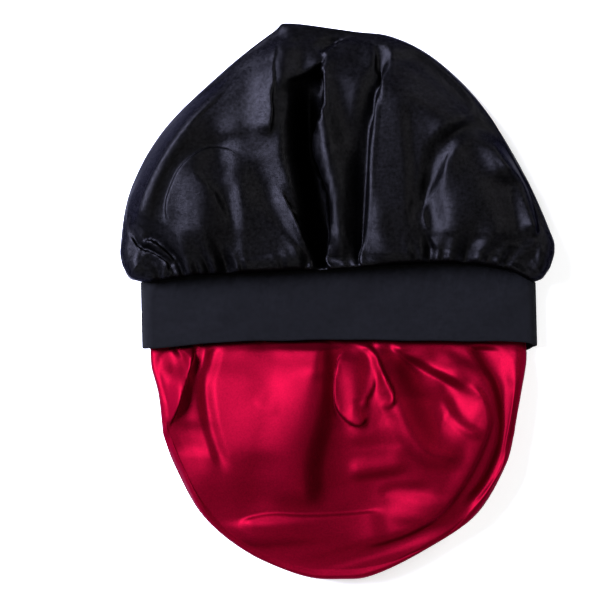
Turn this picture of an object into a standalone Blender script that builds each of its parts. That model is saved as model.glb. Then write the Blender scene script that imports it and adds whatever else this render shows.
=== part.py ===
"""Satin sleep bonnet lying flat: puffed crown, jersey band, and the lining drawn out through the band.

Plan tables are in millimetres.  The band runs along X, the crown fills +Y, the lining
hangs out towards -Y, and every piece rests on the plane Z = 0.
"""
from typing import NamedTuple

import bmesh
import bpy
import numpy as np

MM = 0.001

# ---------------------------------------------------------------- named sizes, mm
BAND_LYING_HEIGHT = 17.0      # both band plies and what runs between them
BAND_WALL = 2.0
CROWN_WALL = 1.4
LINING_WALL = 1.2
SEAM_GAP = 0.5                # between the band's upper edge and the crown
NECK_GAP = 0.5                # between the band's plies and the lining inside it
MOUTH_LEVEL = 3.0             # folds start this far from a mouth
BACK_EDGE_REACH = 7.0         # the band's back ply underlies the lining this far
LEAST_ROOM = 4.0              # between a bag's two plies
LEAST_FALL = 7.0              # narrowest fall that these grids carry
RIM_RADIUS_SEAM = 8.0         # rounding of a ply's outer fold beside its seam
RIM_RADIUS_OPEN = 15.0        # and away from it
RIM_CHANGE = 40.0             # distance past the mouth over which one becomes the other
SHOULDER_SHARE = 0.62         # share of the crest's height that the cloth has just inside its rim
SHOULDER_REACH = 55.0         # distance from the rim to the full height
FOLDS_FROM_RIM = 20.0         # distances over which folds and pleats rise to their full height
FOLDS_FROM_MOUTH = 14.0
PLEATS_FROM_RIM = 12.0
FLOOR_REACH = 12.0            # the underside comes down to the floor over this length
LIP_MARGIN = 4.0              # the overhang of a lip reaches this far past its fall
PLEAT_START = 5.0             # pleats rise to their full height this far from the seam
PLEAT_SPREAD = 40.0           # and are twice as wide at this distance
POCKET_DEPTH = 0.8            # pockets between pleats, as shares of the pleat beside them
POCKET_WIDTH = 0.7
POCKET_REACH = 0.4
PLEAT_SHIFT_RANGE = (-0.35, 0.35)    # chance ranges, as shares of the table's sizes
PLEAT_WIDTH_RANGE = (0.6, 1.5)
PLEAT_REACH_RANGE = (0.35, 1.4)
PLEAT_RISE_RANGE = (0.5, 1.3)
PLEAT_DRIFT_RANGE = (-0.25, 0.25)
SPLINE_STEPS = 10
SIDE_CLUSTER = 0.3            # share of the columns drawn together towards a bag's two sides
RIM_CLUSTER = 1.15            # power that draws the rows together towards its rim
WELD = 0.01                   # vertices closer than this are one
CROWN_GRID = (58, 17)         # cells along the seam, cells from seam to rim
LINING_GRID = (42, 16)
LINING_NECK_ROWS = 2          # of the lining's rows, held inside the band
CROWN_RIM_LIFT = 4.0          # a rim away from its mouth stands this much higher
LINING_RIM_LIFT = 3.0
BAND_GRID = (40, 4)


class Fold(NamedTuple):
    """One fold: the cloth stands high on the left of the path and falls away on its right."""

    name: str
    path: list                # waypoints x, y
    rise: float               # height of the lip
    back: float               # reach of the high side
    drop: float               # width of the fall in front of the lip
    foot: float               # depth of the hollow below the lip
    run: float                # width of that hollow
    lean: float               # overhang of the lip
    fade_in: float
    fade_out: float


class Mound(NamedTuple):
    """One broad swelling, or a hollow where the rise is negative."""

    name: str
    x: float
    y: float
    half_x: float
    half_y: float
    turn: float               # degrees
    rise: float


class Gathers(NamedTuple):
    """Small pleats running out from a seam."""

    count: int
    seed: int
    rise: float
    width: float
    reach: float


class Bag(NamedTuple):
    """One gathered bag of two plies, open at its mouth."""

    edges: list               # mouth, far, left, right
    sewn: np.ndarray          # line along which the cloth is sewn to the band
    neck_share: float         # share of the cloth held between that line and the mouth
    profile: list             # distance past the mouth, height
    folds: list
    mounds: list
    gathers: Gathers
    floor_lift: float         # height of the underside at the mouth
    rim_lift: float           # extra height of the rim away from the mouth


# ---------------------------------------------------------------- plan outlines, x and y in mm
SEAM = [(-133, 13), (-93, 19), (-39, 21), (2, 23), (43, 26), (71, 27), (112, 23), (134, 13)]
BAND_LOW_EDGE = [(-132, -33), (-107, -31), (-66, -28), (-25, -27), (43, -27), (84, -28), (124, -28),
                 (135, -31)]
BAND_LOW_EDGE_BACK = [(-132, -33), (-107, -31), (-66, -28), (-25, -27), (43, -28), (84, -31), (124, -34),
                      (135, -31)]
CROWN_FAR = [(-147, 24), (-148, 38), (-141, 76), (-118, 117), (-76, 158), (-44, 183), (-33, 189),
             (10, 183), (38, 180), (66, 163), (98, 133), (127, 86), (145, 47), (148, 34), (145, 22)]
CROWN_LEFT = [(-133, 13), (-142, 15), (-147, 24)]
CROWN_RIGHT = [(134, 13), (140, 15), (145, 22)]
LINING_SEWN = [(-122, 13), (-93, 17), (-39, 19), (2, 21), (43, 24), (71, 25), (112, 21), (124, 13)]
LINING_MOUTH = [(-128, -33), (-107, -31), (-66, -28), (-25, -27), (43, -27), (84, -28), (115, -28),
                (129, -29)]
LINING_LEFT = [(-128, -33), (-127, -46), (-122, -64), (-119, -90)]
LINING_RIGHT = [(129, -29), (129, -42), (125, -63), (120, -90)]
LINING_FAR = [(-119, -90), (-111, -112), (-92, -146), (-62, -171), (-24, -187), (3, -189.5),
              (25, -186.6), (59, -170), (94, -146), (114, -113), (120, -90)]

# ---------------------------------------------------------------- mm past the seam or band edge, height in mm
CROWN_PROFILE = [(0, 16), (6, 22), (18, 35), (40, 44), (70, 46), (110, 41), (145, 33), (175, 26)]
LINING_PROFILE = [(0, 13.2), (6, 17), (20, 27), (42, 35), (62, 36.5), (95, 31), (130, 24), (165, 18)]

CROWN_FOLDS = [
    Fold("front lobe edge", [(-10, 165), (-4, 152), (-5, 131), (-12, 107), (-8, 93), (-1, 72), (0, 50),
                             (-4, 24), (-5, 8)], 9, 34, 5, 17, 24, 3.0, 8, 1),
    Fold("front lobe rim", [(46, 181), (20, 180), (6, 176), (-4, 170), (-11, 164)],
         7, 24, 3.5, 5, 8, 1.5, 14, 6),
    Fold("rear flap edge", [(-36, 149), (-25, 155), (-17, 160), (-9, 166)], 5, 24, 4, 9, 16, 1.5, 10, 6),
    Fold("long lip", [(37, 178), (36, 161), (31, 141), (26, 115), (24, 90), (23, 62), (21, 40), (17, 24),
                      (15, 8)], 7, 30, 3.5, 8, 15, 2.0, 10, 1),
    Fold("top pocket", [(29, 138), (27, 148), (24, 160), (22, 176)], 4, 12, 3, 3, 6, 1.0, 10, 8),
    Fold("left facet", [(-48, 110), (-46, 135), (-45, 155), (-43, 178)], 9, 22, 6, 4, 10, 1.0, 18, 8),
    Fold("left puff rim", [(-64, 90), (-72, 97), (-85, 99), (-95, 94), (-103, 86), (-108, 76), (-112, 64),
                           (-112, 48)], 10, 24, 4, 7, 15, 2.0, 16, 14),
    Fold("left puff flank", [(-69, 94), (-65, 74), (-64, 56), (-66, 38), (-67, 22), (-67, 8)],
         5, 22, 10, 8, 12, 0.0, 16, 1),
    Fold("left puff line", [(-74, 48), (-79, 62), (-88, 76), (-98, 86)], 3.5, 12, 4, 4, 9, 0.5, 14, 8),
    Fold("middle streak", [(-10, 8), (-17, 22), (-27, 42), (-33, 59), (-42, 78)], 5, 11, 8, 5, 10, 0.5, 1, 20),
    Fold("middle line", [(-9, 14), (-15, 29), (-22, 45), (-29, 62)], 2.5, 6, 4, 3, 6, 0.5, 4, 12),
    Fold("valley shoulder", [(-12, 8), (-14, 24), (-22, 55), (-30, 90), (-33, 120), (-35, 150), (-36, 180)],
         4, 26, 14, 12, 16, 0.0, 1, 4),
    Fold("corner tuck", [(-114, 20), (-124, 27), (-138, 35), (-147, 50)], 3, 12, 3, 4, 8, 1.0, 5, 5),
    Fold("corner curl", [(-111, 25), (-120, 33), (-127, 38), (-134, 38)], 3, 8, 3, 3, 6, 0.5, 6, 6),
    Fold("right puff rim", [(100, 104), (82, 103), (75, 93), (71, 82), (64, 71), (60, 58), (64, 44),
                            (72, 32)], 9, 28, 5, 8, 14, 1.5, 18, 12),
    Fold("right line", [(75, 116), (82, 122), (92, 128), (101, 135)], 5, 22, 3, 6, 14, 1.0, 10, 10),
    Fold("right rim streak", [(134, 42), (131, 62), (126, 84), (117, 104)], 4, 16, 5, 3, 8, 0.5, 12, 16),
]
CROWN_MOUNDS = [
    Mound("left mass", -92, 92, 44, 60, 30, 4),
    Mound("left puff", -84, 62, 26, 34, 0, 4),
    Mound("main valley", -19, 88, 13, 86, 3, -9),
    Mound("lobe valley", 13, 96, 8, 66, 0, -8),
    Mound("front lobe", 2, 118, 12, 50, 0, 4),
    Mound("panel dip", 45, 92, 7, 54, 0, -4),
    Mound("panel", 58, 118, 20, 60, 8, 3),
    Mound("panel foot", 53, 66, 8, 34, -6, -6),
    Mound("right puff", 92, 66, 30, 34, 0, 5),
]
LINING_FOLDS = [
    Fold("left pleat", [(-119, -90), (-108, -58), (-101, -32), (-99, -20)], 7, 12, 4, 6, 22, 1.5, 14, 1),
    Fold("second pleat", [(-79, -20), (-79, -36), (-79, -62), (-77, -86), (-70, -108)],
         6, 24, 9, 8, 16, 0.0, 1, 22),
    Fold("short pleat", [(-72, -20), (-71, -38), (-70, -54)], 4, 9, 4, 4, 8, 0.5, 1, 14),
    Fold("star crease", [(-57, -65), (-47, -72), (-38, -74)], 2.5, 10, 5, 2, 9, 0.0, 7, 7),
    Fold("valley shoulder", [(-22, -144), (-24, -118), (-22, -100), (-17, -82), (-13, -58), (-10, -34),
                             (-9, -20)], 4, 26, 8, 15, 16, 0.0, 18, 1),
    Fold("low lap", [(-70, -156), (-58, -149), (-42, -147), (-20, -148.5), (6, -148.5), (30, -146)],
         5, 24, 4, 6, 12, 1.0, 14, 16),
    Fold("loop", [(5, -34), (1, -52), (1, -69), (6, -77), (13, -81), (20, -77)], 8, 15, 5, 8, 13, 2.0, 8, 7),
    Fold("loop back", [(31, -74), (35, -64), (28, -48), (23, -36), (13, -27), (9, -18)],
         6, 11, 4, 7, 15, 1.0, 8, 1),
    Fold("loop vee", [(20, -74), (18, -67), (22, -57), (24, -44)], 3, 8, 3, 3, 6, 0.5, 6, 8),
    Fold("hook", [(42, -108), (43, -96), (38, -89), (27, -79)], 4, 14, 8, 3, 10, 0.5, 10, 10),
    Fold("patch edge", [(6, -117), (22, -114), (38, -111), (48, -105)], 4, 16, 3, 5, 12, 0.5, 8, 12),
    Fold("lower patch", [(70, -125), (48, -128), (28, -130)], 3, 22, 6, 2, 10, 0.0, 12, 10),
    Fold("lobe ridge", [(33, -20), (44, -32), (60, -42), (78, -51), (90, -58)], 6, 18, 7, 7, 18, 1.0, 1, 16),
    Fold("lobe edge", [(8, -167), (33, -160), (51, -153), (66, -142), (76, -131), (85, -117), (92, -103),
                       (98, -87), (99, -78), (95, -66), (86, -55)], 7, 20, 6, 12, 12, 2.0, 26, 14),
    Fold("outer lip", [(86, -20), (92, -34), (100, -45), (109, -61), (113, -78), (112, -90), (108, -104),
                       (98, -127), (86, -141)], 4, 14, 5, 5, 8, 1.0, 1, 22),
    Fold("dish line", [(94, -91), (84, -86), (76, -79), (71, -67)], 4, 10, 6, 3, 9, 0.0, 8, 8),
    Fold("dish rim", [(98, -103), (80, -102), (69, -95), (61, -80), (56, -62)], 3, 18, 10, 3, 12, 0.0, 14, 14),
]
LINING_MOUNDS = [
    Mound("left panel", -46, -70, 26, 40, 0, 4),
    Mound("lower hollow", -50, -122, 26, 16, 0, -5),
    Mound("valley", 0, -82, 9, 60, 0, -8),
    Mound("valley end", -4, -128, 20, 18, 0, -4),
    Mound("dish", 66, -76, 16, 24, 30, -6),
]
CROWN_GATHERS = Gathers(34, 11, 3.0, 3.6, 24.0)
LINING_GATHERS = Gathers(24, 5, 2.6, 4.0, 26.0)


# ---------------------------------------------------------------- curves
def spline(points):
    """Smooth line through the waypoints."""
    knots = np.array(points, float)
    knots = np.vstack([2 * knots[0] - knots[1], knots, 2 * knots[-1] - knots[-2]])
    share = np.linspace(0, 1, SPLINE_STEPS, endpoint=False)[:, None]
    pieces = []
    for before, start, end, after in zip(knots, knots[1:], knots[2:], knots[3:]):
        linear = (end - before) * share
        square = (2 * before - 5 * start + 4 * end - after) * share ** 2
        cube = (3 * start - before - 3 * end + after) * share ** 3
        pieces.append(start + 0.5 * (linear + square + cube))
    pieces.append(knots[-2][None])
    return np.vstack(pieces)


def walk(line, share):
    """Points at the given shares of a line's length."""
    steps = np.linalg.norm(np.diff(line, axis=0), axis=1)
    length = np.concatenate([[0.0], np.cumsum(steps)])
    at = np.asarray(share) * length[-1]
    return np.stack([np.interp(at, length, line[:, axis]) for axis in range(line.shape[1])], axis=-1)


def ease(value):
    """Smooth step from 0 to 1."""
    value = np.clip(value, 0, 1)
    return value * value * (3 - 2 * value)


def rounded(inset, radius):
    """Quarter-round rise from 0 at an edge to 1 one radius inside it."""
    return np.sqrt(1 - (1 - np.clip(inset / radius, 0, 1)) ** 2)


def path_frame(plan, line):
    """Distance to a line (left positive), distance walked along it, distance left, and its left normal."""
    start = line[:-1]
    step = line[1:] - start
    length = np.maximum(np.linalg.norm(step, axis=1), 1e-6)
    rel = plan[:, None, :] - start[None]
    share = np.clip((rel * step[None]).sum(2) / length ** 2, 0, 1)
    away = rel - share[..., None] * step[None]
    nearest = (away ** 2).sum(2).argmin(1)
    row = np.arange(len(plan))
    off = away[row, nearest]
    heading = step[nearest] / length[nearest][:, None]
    side = np.where(heading[:, 0] * off[:, 1] - heading[:, 1] * off[:, 0] < 0, -1.0, 1.0)
    walked = np.concatenate([[0.0], np.cumsum(length)])
    along = walked[nearest] + share[row, nearest] * length[nearest]
    normal = np.stack([-heading[:, 1], heading[:, 0]], axis=1)
    return side * np.linalg.norm(off, axis=1), along, walked[-1] - along, normal


# ---------------------------------------------------------------- relief
def fold_relief(plan, folds):
    """Height and sideways shift that a table of folds gives each plan point."""
    height = np.zeros(len(plan))
    shift = np.zeros_like(plan)
    for fold in folds:
        line = spline(fold.path)
        drop = max(fold.drop, LEAST_FALL)
        reach = max(fold.back, drop + fold.run)
        low = line.min(axis=0) - reach
        high = line.max(axis=0) + reach
        near = np.nonzero(((plan > low) & (plan < high)).all(axis=1))[0]
        if len(near) == 0:
            continue
        side, along, left, normal = path_frame(plan[near], line)
        behind = 1 - ease(side / fold.back)
        fall = ease(-side / drop)
        out = ease((-side - drop) / fold.run)
        shape = np.where(side >= 0, fold.rise * behind, fold.rise * (1 - fall) - fold.foot * fall * (1 - out))
        fade = ease(along / fold.fade_in) * ease(left / fold.fade_out)
        hang = 1 - ease(np.abs(side) / (drop + LIP_MARGIN))
        height[near] += shape * fade
        shift[near] -= (fold.lean * hang * fade)[:, None] * normal
    return height, shift


def mound_relief(plan, mounds):
    """Height that a table of broad swellings gives each plan point."""
    height = np.zeros(len(plan))
    for mound in mounds:
        turn = np.radians(mound.turn)
        x = plan[:, 0] - mound.x
        y = plan[:, 1] - mound.y
        across = (x * np.cos(turn) + y * np.sin(turn)) / mound.half_x
        along = (y * np.cos(turn) - x * np.sin(turn)) / mound.half_y
        height += mound.rise * np.exp(-across ** 2 - along ** 4)
    return height


def gather_relief(share, seam_length, out, gathers):
    """Small pleats: share runs along the seam, out is the distance from it."""
    chance = np.random.default_rng(gathers.seed)
    height = np.zeros(len(share))
    at = share * seam_length
    pitch = seam_length / gathers.count
    for index in range(gathers.count):
        start = (index + 0.5 + chance.uniform(*PLEAT_SHIFT_RANGE)) * pitch
        width = gathers.width * chance.uniform(*PLEAT_WIDTH_RANGE)
        reach = gathers.reach * chance.uniform(*PLEAT_REACH_RANGE)
        rise = gathers.rise * chance.uniform(*PLEAT_RISE_RANGE) * ease(out / PLEAT_START)
        drift = chance.uniform(*PLEAT_DRIFT_RANGE)
        across = (at - start - drift * out) / (width * (1 + out / PLEAT_SPREAD))
        height += rise * np.exp(-across ** 2) * np.exp(-(out / reach) ** 2)
        pocket = (at - start - 0.5 * pitch) / (POCKET_WIDTH * width)
        short = out / (POCKET_REACH * reach)
        height -= POCKET_DEPTH * rise * np.exp(-pocket ** 2) * np.exp(-short ** 2)
    return height


# ---------------------------------------------------------------- the two gathered bags
def ply_plan(bag, across, along):
    """Plan points of a ply: ruled along its neck, then filled between its four free edges."""
    mouth, far, left, right = bag.edges
    free = np.clip((along - bag.neck_share) / (1 - bag.neck_share), 0, 1)
    s = across[:, None]
    t = free[:, None]
    ruled = (1 - t) * walk(mouth, across) + t * walk(far, across)
    sides = (1 - s) * walk(left, free) + s * walk(right, free)
    corners = (1 - s) * (1 - t) * mouth[0] + s * (1 - t) * mouth[-1] + (1 - s) * t * far[0] + s * t * far[-1]
    plan = ruled + sides - corners
    held = along < bag.neck_share
    share = (along[held] / max(bag.neck_share, 0.01))[:, None]
    plan[held] = (1 - share) * walk(bag.sewn, across[held]) + share * walk(mouth, across[held])
    return plan, held


def walk_height(profile, out):
    """Smooth height at a distance past the mouth."""
    line = spline(profile)
    return np.interp(out, line[:, 0], line[:, 1])


def ply_points(bag, across, along, upper):
    """Points of a bag's upper or lower ply at shares across its mouth and along to its rim."""
    plan, held = ply_plan(bag, across, along)
    mouth, far, left, right = bag.edges
    rim = np.vstack([bag.sewn[:1], left[:-1], far, right[::-1], bag.sewn[-1:]])
    inset = np.abs(path_frame(plan, rim)[0])
    inset[(across <= 0) | (across >= 1) | (along >= 1)] = 0
    out = np.where(held, 0, np.abs(path_frame(plan, mouth)[0]))
    open_share = ease(out / RIM_CHANGE)
    radius = RIM_RADIUS_SEAM + (RIM_RADIUS_OPEN - RIM_RADIUS_SEAM) * open_share
    rim_height = BAND_LYING_HEIGHT / 2 + bag.rim_lift * open_share
    rounding = rounded(inset, radius)
    floor = bag.floor_lift * (1 - ease((out - BACK_EDGE_REACH) / FLOOR_REACH))
    low = floor + (rim_height - floor) * (1 - rounding)
    if not upper:
        return np.column_stack([plan, low])
    shoulder = SHOULDER_SHARE + (1 - SHOULDER_SHARE) * ease(inset / SHOULDER_REACH)
    height = rim_height + (walk_height(bag.profile, out) - rim_height) * shoulder
    folds, shift = fold_relief(plan, bag.folds)
    folds = folds + mound_relief(plan, bag.mounds)
    mouth_length = np.linalg.norm(np.diff(mouth, axis=0), axis=1).sum()
    pleats = gather_relief(across, mouth_length, out, bag.gathers) * ease(inset / PLEATS_FROM_RIM)
    loose = ease(inset / FOLDS_FROM_RIM) * ease((out - MOUTH_LEVEL) / FOLDS_FROM_MOUTH)
    top = rim_height + (height - rim_height) * rounding + folds * loose + pleats
    top = np.maximum(top, low + LEAST_ROOM * rounding)
    return np.column_stack([plan + shift * loose[:, None], top])


# ---------------------------------------------------------------- build
def grid_cells(cells):
    """A flat unit grid of cells, as a mesh to be shaped, with each vertex's two shares."""
    form = bmesh.new()
    bmesh.ops.create_grid(form, x_segments=cells[0], y_segments=cells[1], size=1.0)
    form.verts.ensure_lookup_table()
    across = np.array([(vertex.co.x + 1) / 2 for vertex in form.verts])
    along = np.array([(vertex.co.y + 1) / 2 for vertex in form.verts])
    return form, across.round(6), along.round(6)


def place(form, points):
    """Move a mesh's vertices to the given points in mm."""
    for vertex, point in zip(form.verts, points):
        vertex.co = point * MM


def add_to(form, other):
    """Copy one mesh's faces into another."""
    mesh = bpy.data.meshes.new("ply")
    other.to_mesh(mesh)
    form.from_mesh(mesh)
    other.free()
    bpy.data.meshes.remove(mesh)


def bag_form(bag, cells):
    """Both plies of a bag joined round its rim, open at the mouth."""
    form = bmesh.new()
    for upper in (True, False):
        ply, across, along = grid_cells(cells)
        drawn = 0.5 - 0.5 * np.cos(np.pi * across)
        across = SIDE_CLUSTER * drawn + (1 - SIDE_CLUSTER) * across
        free = np.clip((along - bag.neck_share) / (1 - bag.neck_share), 0, 1)
        free = np.sin(free * np.pi / 2) ** RIM_CLUSTER
        along = np.where(along < bag.neck_share, along, bag.neck_share + (1 - bag.neck_share) * free)
        place(ply, ply_points(bag, across, along, upper))
        add_to(form, ply)
    bmesh.ops.remove_doubles(form, verts=form.verts[:], dist=WELD * MM)
    bmesh.ops.recalc_face_normals(form, faces=form.faces[:])
    return form


def band_form(cells):
    """The band's outer face: a flattened ring between the seam and its lower edge."""
    form = bmesh.new()
    half = BAND_LYING_HEIGHT / 2
    for upper in (True, False):
        ply, across, along = grid_cells(cells)
        across = 0.5 - 0.5 * np.cos(np.pi * across)
        low_edge = BAND_LOW_EDGE if upper else BAND_LOW_EDGE_BACK
        share = along[:, None]
        upper_edge = spline(SEAM) - np.array([0.0, SEAM_GAP])
        plan = (1 - share) * walk(upper_edge, across) + share * walk(spline(low_edge), across)
        inset = np.minimum(across, 1 - across) * (SEAM[-1][0] - SEAM[0][0])
        bulge = rounded(inset, half)
        height = half + half * bulge if upper else half - half * bulge
        place(ply, np.column_stack([plan, height]))
        add_to(form, ply)
    bmesh.ops.remove_doubles(form, verts=form.verts[:], dist=WELD * MM)
    bmesh.ops.recalc_face_normals(form, faces=form.faces[:])
    return form


def material(name, colour, roughness, metallic):
    """One piece's own finish."""
    finish = bpy.data.materials.new(name)
    finish.use_nodes = True
    shader = finish.node_tree.nodes["Principled BSDF"]
    shader.inputs["Base Color"].default_value = (*colour, 1.0)
    shader.inputs["Roughness"].default_value = roughness
    shader.inputs["Metallic"].default_value = metallic
    return finish


def piece(name, form, wall, finish, collection):
    """One named solid: the shaped outer face given its cloth thickness inwards."""
    mesh = bpy.data.meshes.new(name)
    form.to_mesh(mesh)
    form.free()
    solid = bpy.data.objects.new(name, mesh)
    solid.data.materials.append(finish)
    collection.objects.link(solid)
    thickness = solid.modifiers.new("cloth thickness", "SOLIDIFY")
    thickness.thickness = wall * MM
    thickness.offset = -1.0
    thickness.use_even_offset = False
    return solid


def build():
    """All three pieces of the bonnet."""
    for leftover in list(bpy.data.objects):
        bpy.data.objects.remove(leftover, do_unlink=True)
    collection = bpy.data.collections.new("sleep bonnet")
    bpy.context.scene.collection.children.link(collection)
    crown = Bag(edges=[spline(SEAM), spline(CROWN_FAR), spline(CROWN_LEFT), spline(CROWN_RIGHT)],
                sewn=spline(SEAM), neck_share=0.0, profile=CROWN_PROFILE, folds=CROWN_FOLDS,
                mounds=CROWN_MOUNDS, gathers=CROWN_GATHERS, floor_lift=0.0, rim_lift=CROWN_RIM_LIFT)
    lining = Bag(edges=[spline(LINING_MOUTH), spline(LINING_FAR), spline(LINING_LEFT), spline(LINING_RIGHT)],
                 sewn=spline(LINING_SEWN), neck_share=LINING_NECK_ROWS / LINING_GRID[1],
                 profile=LINING_PROFILE, folds=LINING_FOLDS, mounds=LINING_MOUNDS,
                 gathers=LINING_GATHERS, floor_lift=BAND_WALL + NECK_GAP, rim_lift=LINING_RIM_LIFT)
    satin = material("black satin", (0.010, 0.010, 0.014), 0.38, 0.0)
    red_satin = material("wine red satin", (0.42, 0.006, 0.045), 0.40, 0.0)
    jersey = material("charcoal jersey", (0.017, 0.018, 0.023), 0.85, 0.0)
    piece("crown", bag_form(crown, CROWN_GRID), CROWN_WALL, satin, collection)
    piece("band", band_form(BAND_GRID), BAND_WALL, jersey, collection)
    piece("lining", bag_form(lining, LINING_GRID), LINING_WALL, red_satin, collection)


build()
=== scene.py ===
"""Looks of the satin sleep bonnet: settled cloth, woven and knitted finishes, floor, light and camera."""
import math
from typing import NamedTuple

import bpy
import numpy as np
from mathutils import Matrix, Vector


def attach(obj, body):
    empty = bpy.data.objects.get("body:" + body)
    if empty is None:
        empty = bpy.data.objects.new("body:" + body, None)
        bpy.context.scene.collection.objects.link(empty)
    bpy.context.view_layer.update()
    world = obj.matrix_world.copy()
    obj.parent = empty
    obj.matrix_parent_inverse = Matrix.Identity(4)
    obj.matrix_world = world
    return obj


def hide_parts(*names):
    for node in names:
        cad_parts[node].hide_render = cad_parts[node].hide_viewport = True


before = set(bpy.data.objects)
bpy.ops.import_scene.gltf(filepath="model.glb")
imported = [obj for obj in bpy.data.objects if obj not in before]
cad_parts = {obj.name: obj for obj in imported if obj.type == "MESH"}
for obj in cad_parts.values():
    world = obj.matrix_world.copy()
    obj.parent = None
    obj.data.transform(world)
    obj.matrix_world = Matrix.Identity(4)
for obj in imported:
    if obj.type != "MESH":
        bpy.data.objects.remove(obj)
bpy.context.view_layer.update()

MM = 0.001
TINY = 1e-6                   # keeps a division by a length clear of zero
CLOTH_LIE = "cloth lie"       # name of the map that follows a cloth's threads

# ---------------------------------------------------------------- named sizes, mm
BAND_LYING_HEIGHT = 17.0      # both band plies and what runs between them
BAND_WALL = 2.0               # two layers of jersey
BACK_EDGE_REACH = 7.0         # the band's back ply underlies the lining this far
SEAM_GAP = 0.5                # between the band's upper edge and the crown
NECK_GAP = 0.5                # between the band's plies and the lining inside it
LINING_NECK_SHARE = 0.03      # share of the lining that is held inside the band
CROWN_TUCK = [(-5.0, 14.2, 2.8), (-2.0, 14.8, 2.6)]    # past the seam, upper and lower height
TUCK_NARROWING = 0.965        # width of the crown's edge inside the band, against its seam
LEAST_ROOM = 4.0              # between a bag's two plies
CROWN_FLOOR_LIFT = 2.4        # height of the crown's underside at its mouth
FLOOR_REACH = 12.0            # an underside comes down to the floor over this length
SEAM_RIM_RADIUS = 8.0         # rounding of a bag's outer fold beside its seam
CROWN_RIM_RADIUS = 19.0       # and away from it
LINING_RIM_RADIUS = 4.5
CROWN_RIM_LIFT = 4.0          # the rim lies this much higher away from the seam
LINING_RIM_LIFT = 6.0
RIM_CHANGE = 40.0             # distance past the mouth over which the rim changes
SHOULDER_SHARE = 0.78         # share of the crest's height that the cloth has just inside its rim
SHOULDER_REACH = 36.0         # distance from the rim to the full height
CROWN_BULGE = 2.6             # the crown stands out over its seam by this much
BULGE_REACH = 9.0             # and draws back over this length
MOUTH_LEVEL = 1.0             # folds start this far from a mouth, and the bulge is full there
FOLDS_FROM_MOUTH = 6.0        # distances over which folds and pleats rise to their full height
FOLDS_FROM_RIM = 12.0
PLEATS_FROM_RIM = 8.0
PLEATS_FROM_SEAM = 4.0
LIP_BACK_REACH = 26.0         # the cloth behind an overhanging lip follows it over this length
PLEAT_SPREAD = 45.0           # a pleat is twice as wide this far out
PLEAT_CREST = 0.3             # height of the small pleats beside a pocket, as a share of its depth
PLEAT_CREST_AT = 1.9          # their distance from its middle, in half widths
PLEAT_CREST_WIDTH = 0.8       # their half width, in half widths of the pocket
PLEAT_CREST_REACH = 1.4       # their reach, in reaches of the pocket

# ---------------------------------------------------------------- grids and settling
SPLINE_STEPS = 10
CROWN_GRID = (150, 96)        # columns and rows of the cloth that settles
LINING_GRID = (140, 106)
SIDE_CLUSTER = 0.25           # share of the columns drawn together towards a bag's two sides
RIM_CLUSTER = 1.15            # power that draws the rows together towards its rim
UNDERSIDE_STEP = 8            # the flat underside has a row for this many of the upper side
SPARE_CLOTH = (1.02, 1.01, 1.0)    # cut size over lying size: across, along and upwards
SETTLING_FRAMES = 24
SETTLING_CAP = 3.0            # furthest that a point may move
SETTLING_SOFTNESS = 6         # rounds of averaging over what settling moves
EDGE_HOLD = 0.6               # how firmly cloth beside a held edge is held
SATIN_CLOTH = {"quality": 5, "mass": 0.0005, "tension_stiffness": 15, "compression_stiffness": 15,
               "shear_stiffness": 5, "bending_stiffness": 0.02, "tension_damping": 0.2,
               "compression_damping": 0.2, "shear_damping": 0.2, "bending_damping": 0.01,
               "air_damping": 0, "pin_stiffness": 1}


class Fold(NamedTuple):
    """One fold: the cloth stands high on the left of the path and falls away on its right."""

    name: str
    path: list                # waypoints x, y
    rise: float               # height of the lip
    back: float               # reach of the high side
    drop: float               # width of the fall in front of the lip
    foot: float               # depth of the hollow below the lip
    run: float                # width of that hollow
    lean: float               # overhang of the lip
    fade_in: float            # length over which it rises at the path's start
    fade_out: float           # and dies away at its end


class Mound(NamedTuple):
    """One broad swelling, or a hollow where the rise is negative."""

    name: str
    x: float
    y: float
    half_x: float
    half_y: float
    turn: float               # degrees
    rise: float


class Pleat(NamedTuple):
    """One pinched pocket between two small pleats at a seam."""

    x: float                  # where it meets the seam
    width: float              # half width
    reach: float
    depth: float
    drift: float              # sideways mm for each mm out


class Bag(NamedTuple):
    """One gathered bag of two plies, open at its mouth."""

    edges: list               # mouth, far, left and right line
    sewn: np.ndarray          # line along which the cloth is sewn to the band
    neck_share: float         # share of the cloth held between that line and the mouth
    profile: list             # distance past the mouth, height
    folds: list
    mounds: list
    pleats: list
    floor_lift: float         # height of the underside at the mouth
    rim_lift: float           # extra height of the rim away from the mouth
    rim_radius: float         # rounding of its outer fold there
    bulge: float              # how far the cloth stands out over the mouth
    tuck: list                # rows of cloth tucked into the band
    size: tuple               # columns and rows of its grid
    mirrored: bool            # it runs down from its seam, not up


# ---------------------------------------------------------------- plan outlines, x and y in mm
SEAM = [(-133, 13), (-93, 19), (-39, 21), (2, 23), (43, 26), (71, 27), (112, 23), (134, 13)]
BAND_LOW_EDGE = [(-132, -33), (-107, -31), (-66, -28), (-25, -27), (43, -27), (84, -28), (124, -28),
                 (135, -31)]
BAND_LOW_EDGE_BACK = [(-132, -33), (-107, -31), (-66, -28), (-25, -27), (43, -28), (84, -31), (124, -34),
                      (135, -31)]
CROWN_FAR = [(-147, 24), (-148, 38), (-141, 76), (-118, 117), (-76, 158), (-44, 183), (-33, 189),
             (10, 183.3), (37.5, 179.8), (67, 164.2), (98.3, 133.3), (127.3, 86.3), (145, 47),
             (148, 34), (145, 22)]
CROWN_LEFT = [(-133, 13), (-142, 15), (-147, 24)]
CROWN_RIGHT = [(134, 13), (140, 15), (145, 22)]
LINING_SEWN = [(-122, 13), (-93, 17), (-39, 19), (2, 21), (43, 24), (71, 25), (112, 21), (124, 13)]
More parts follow.
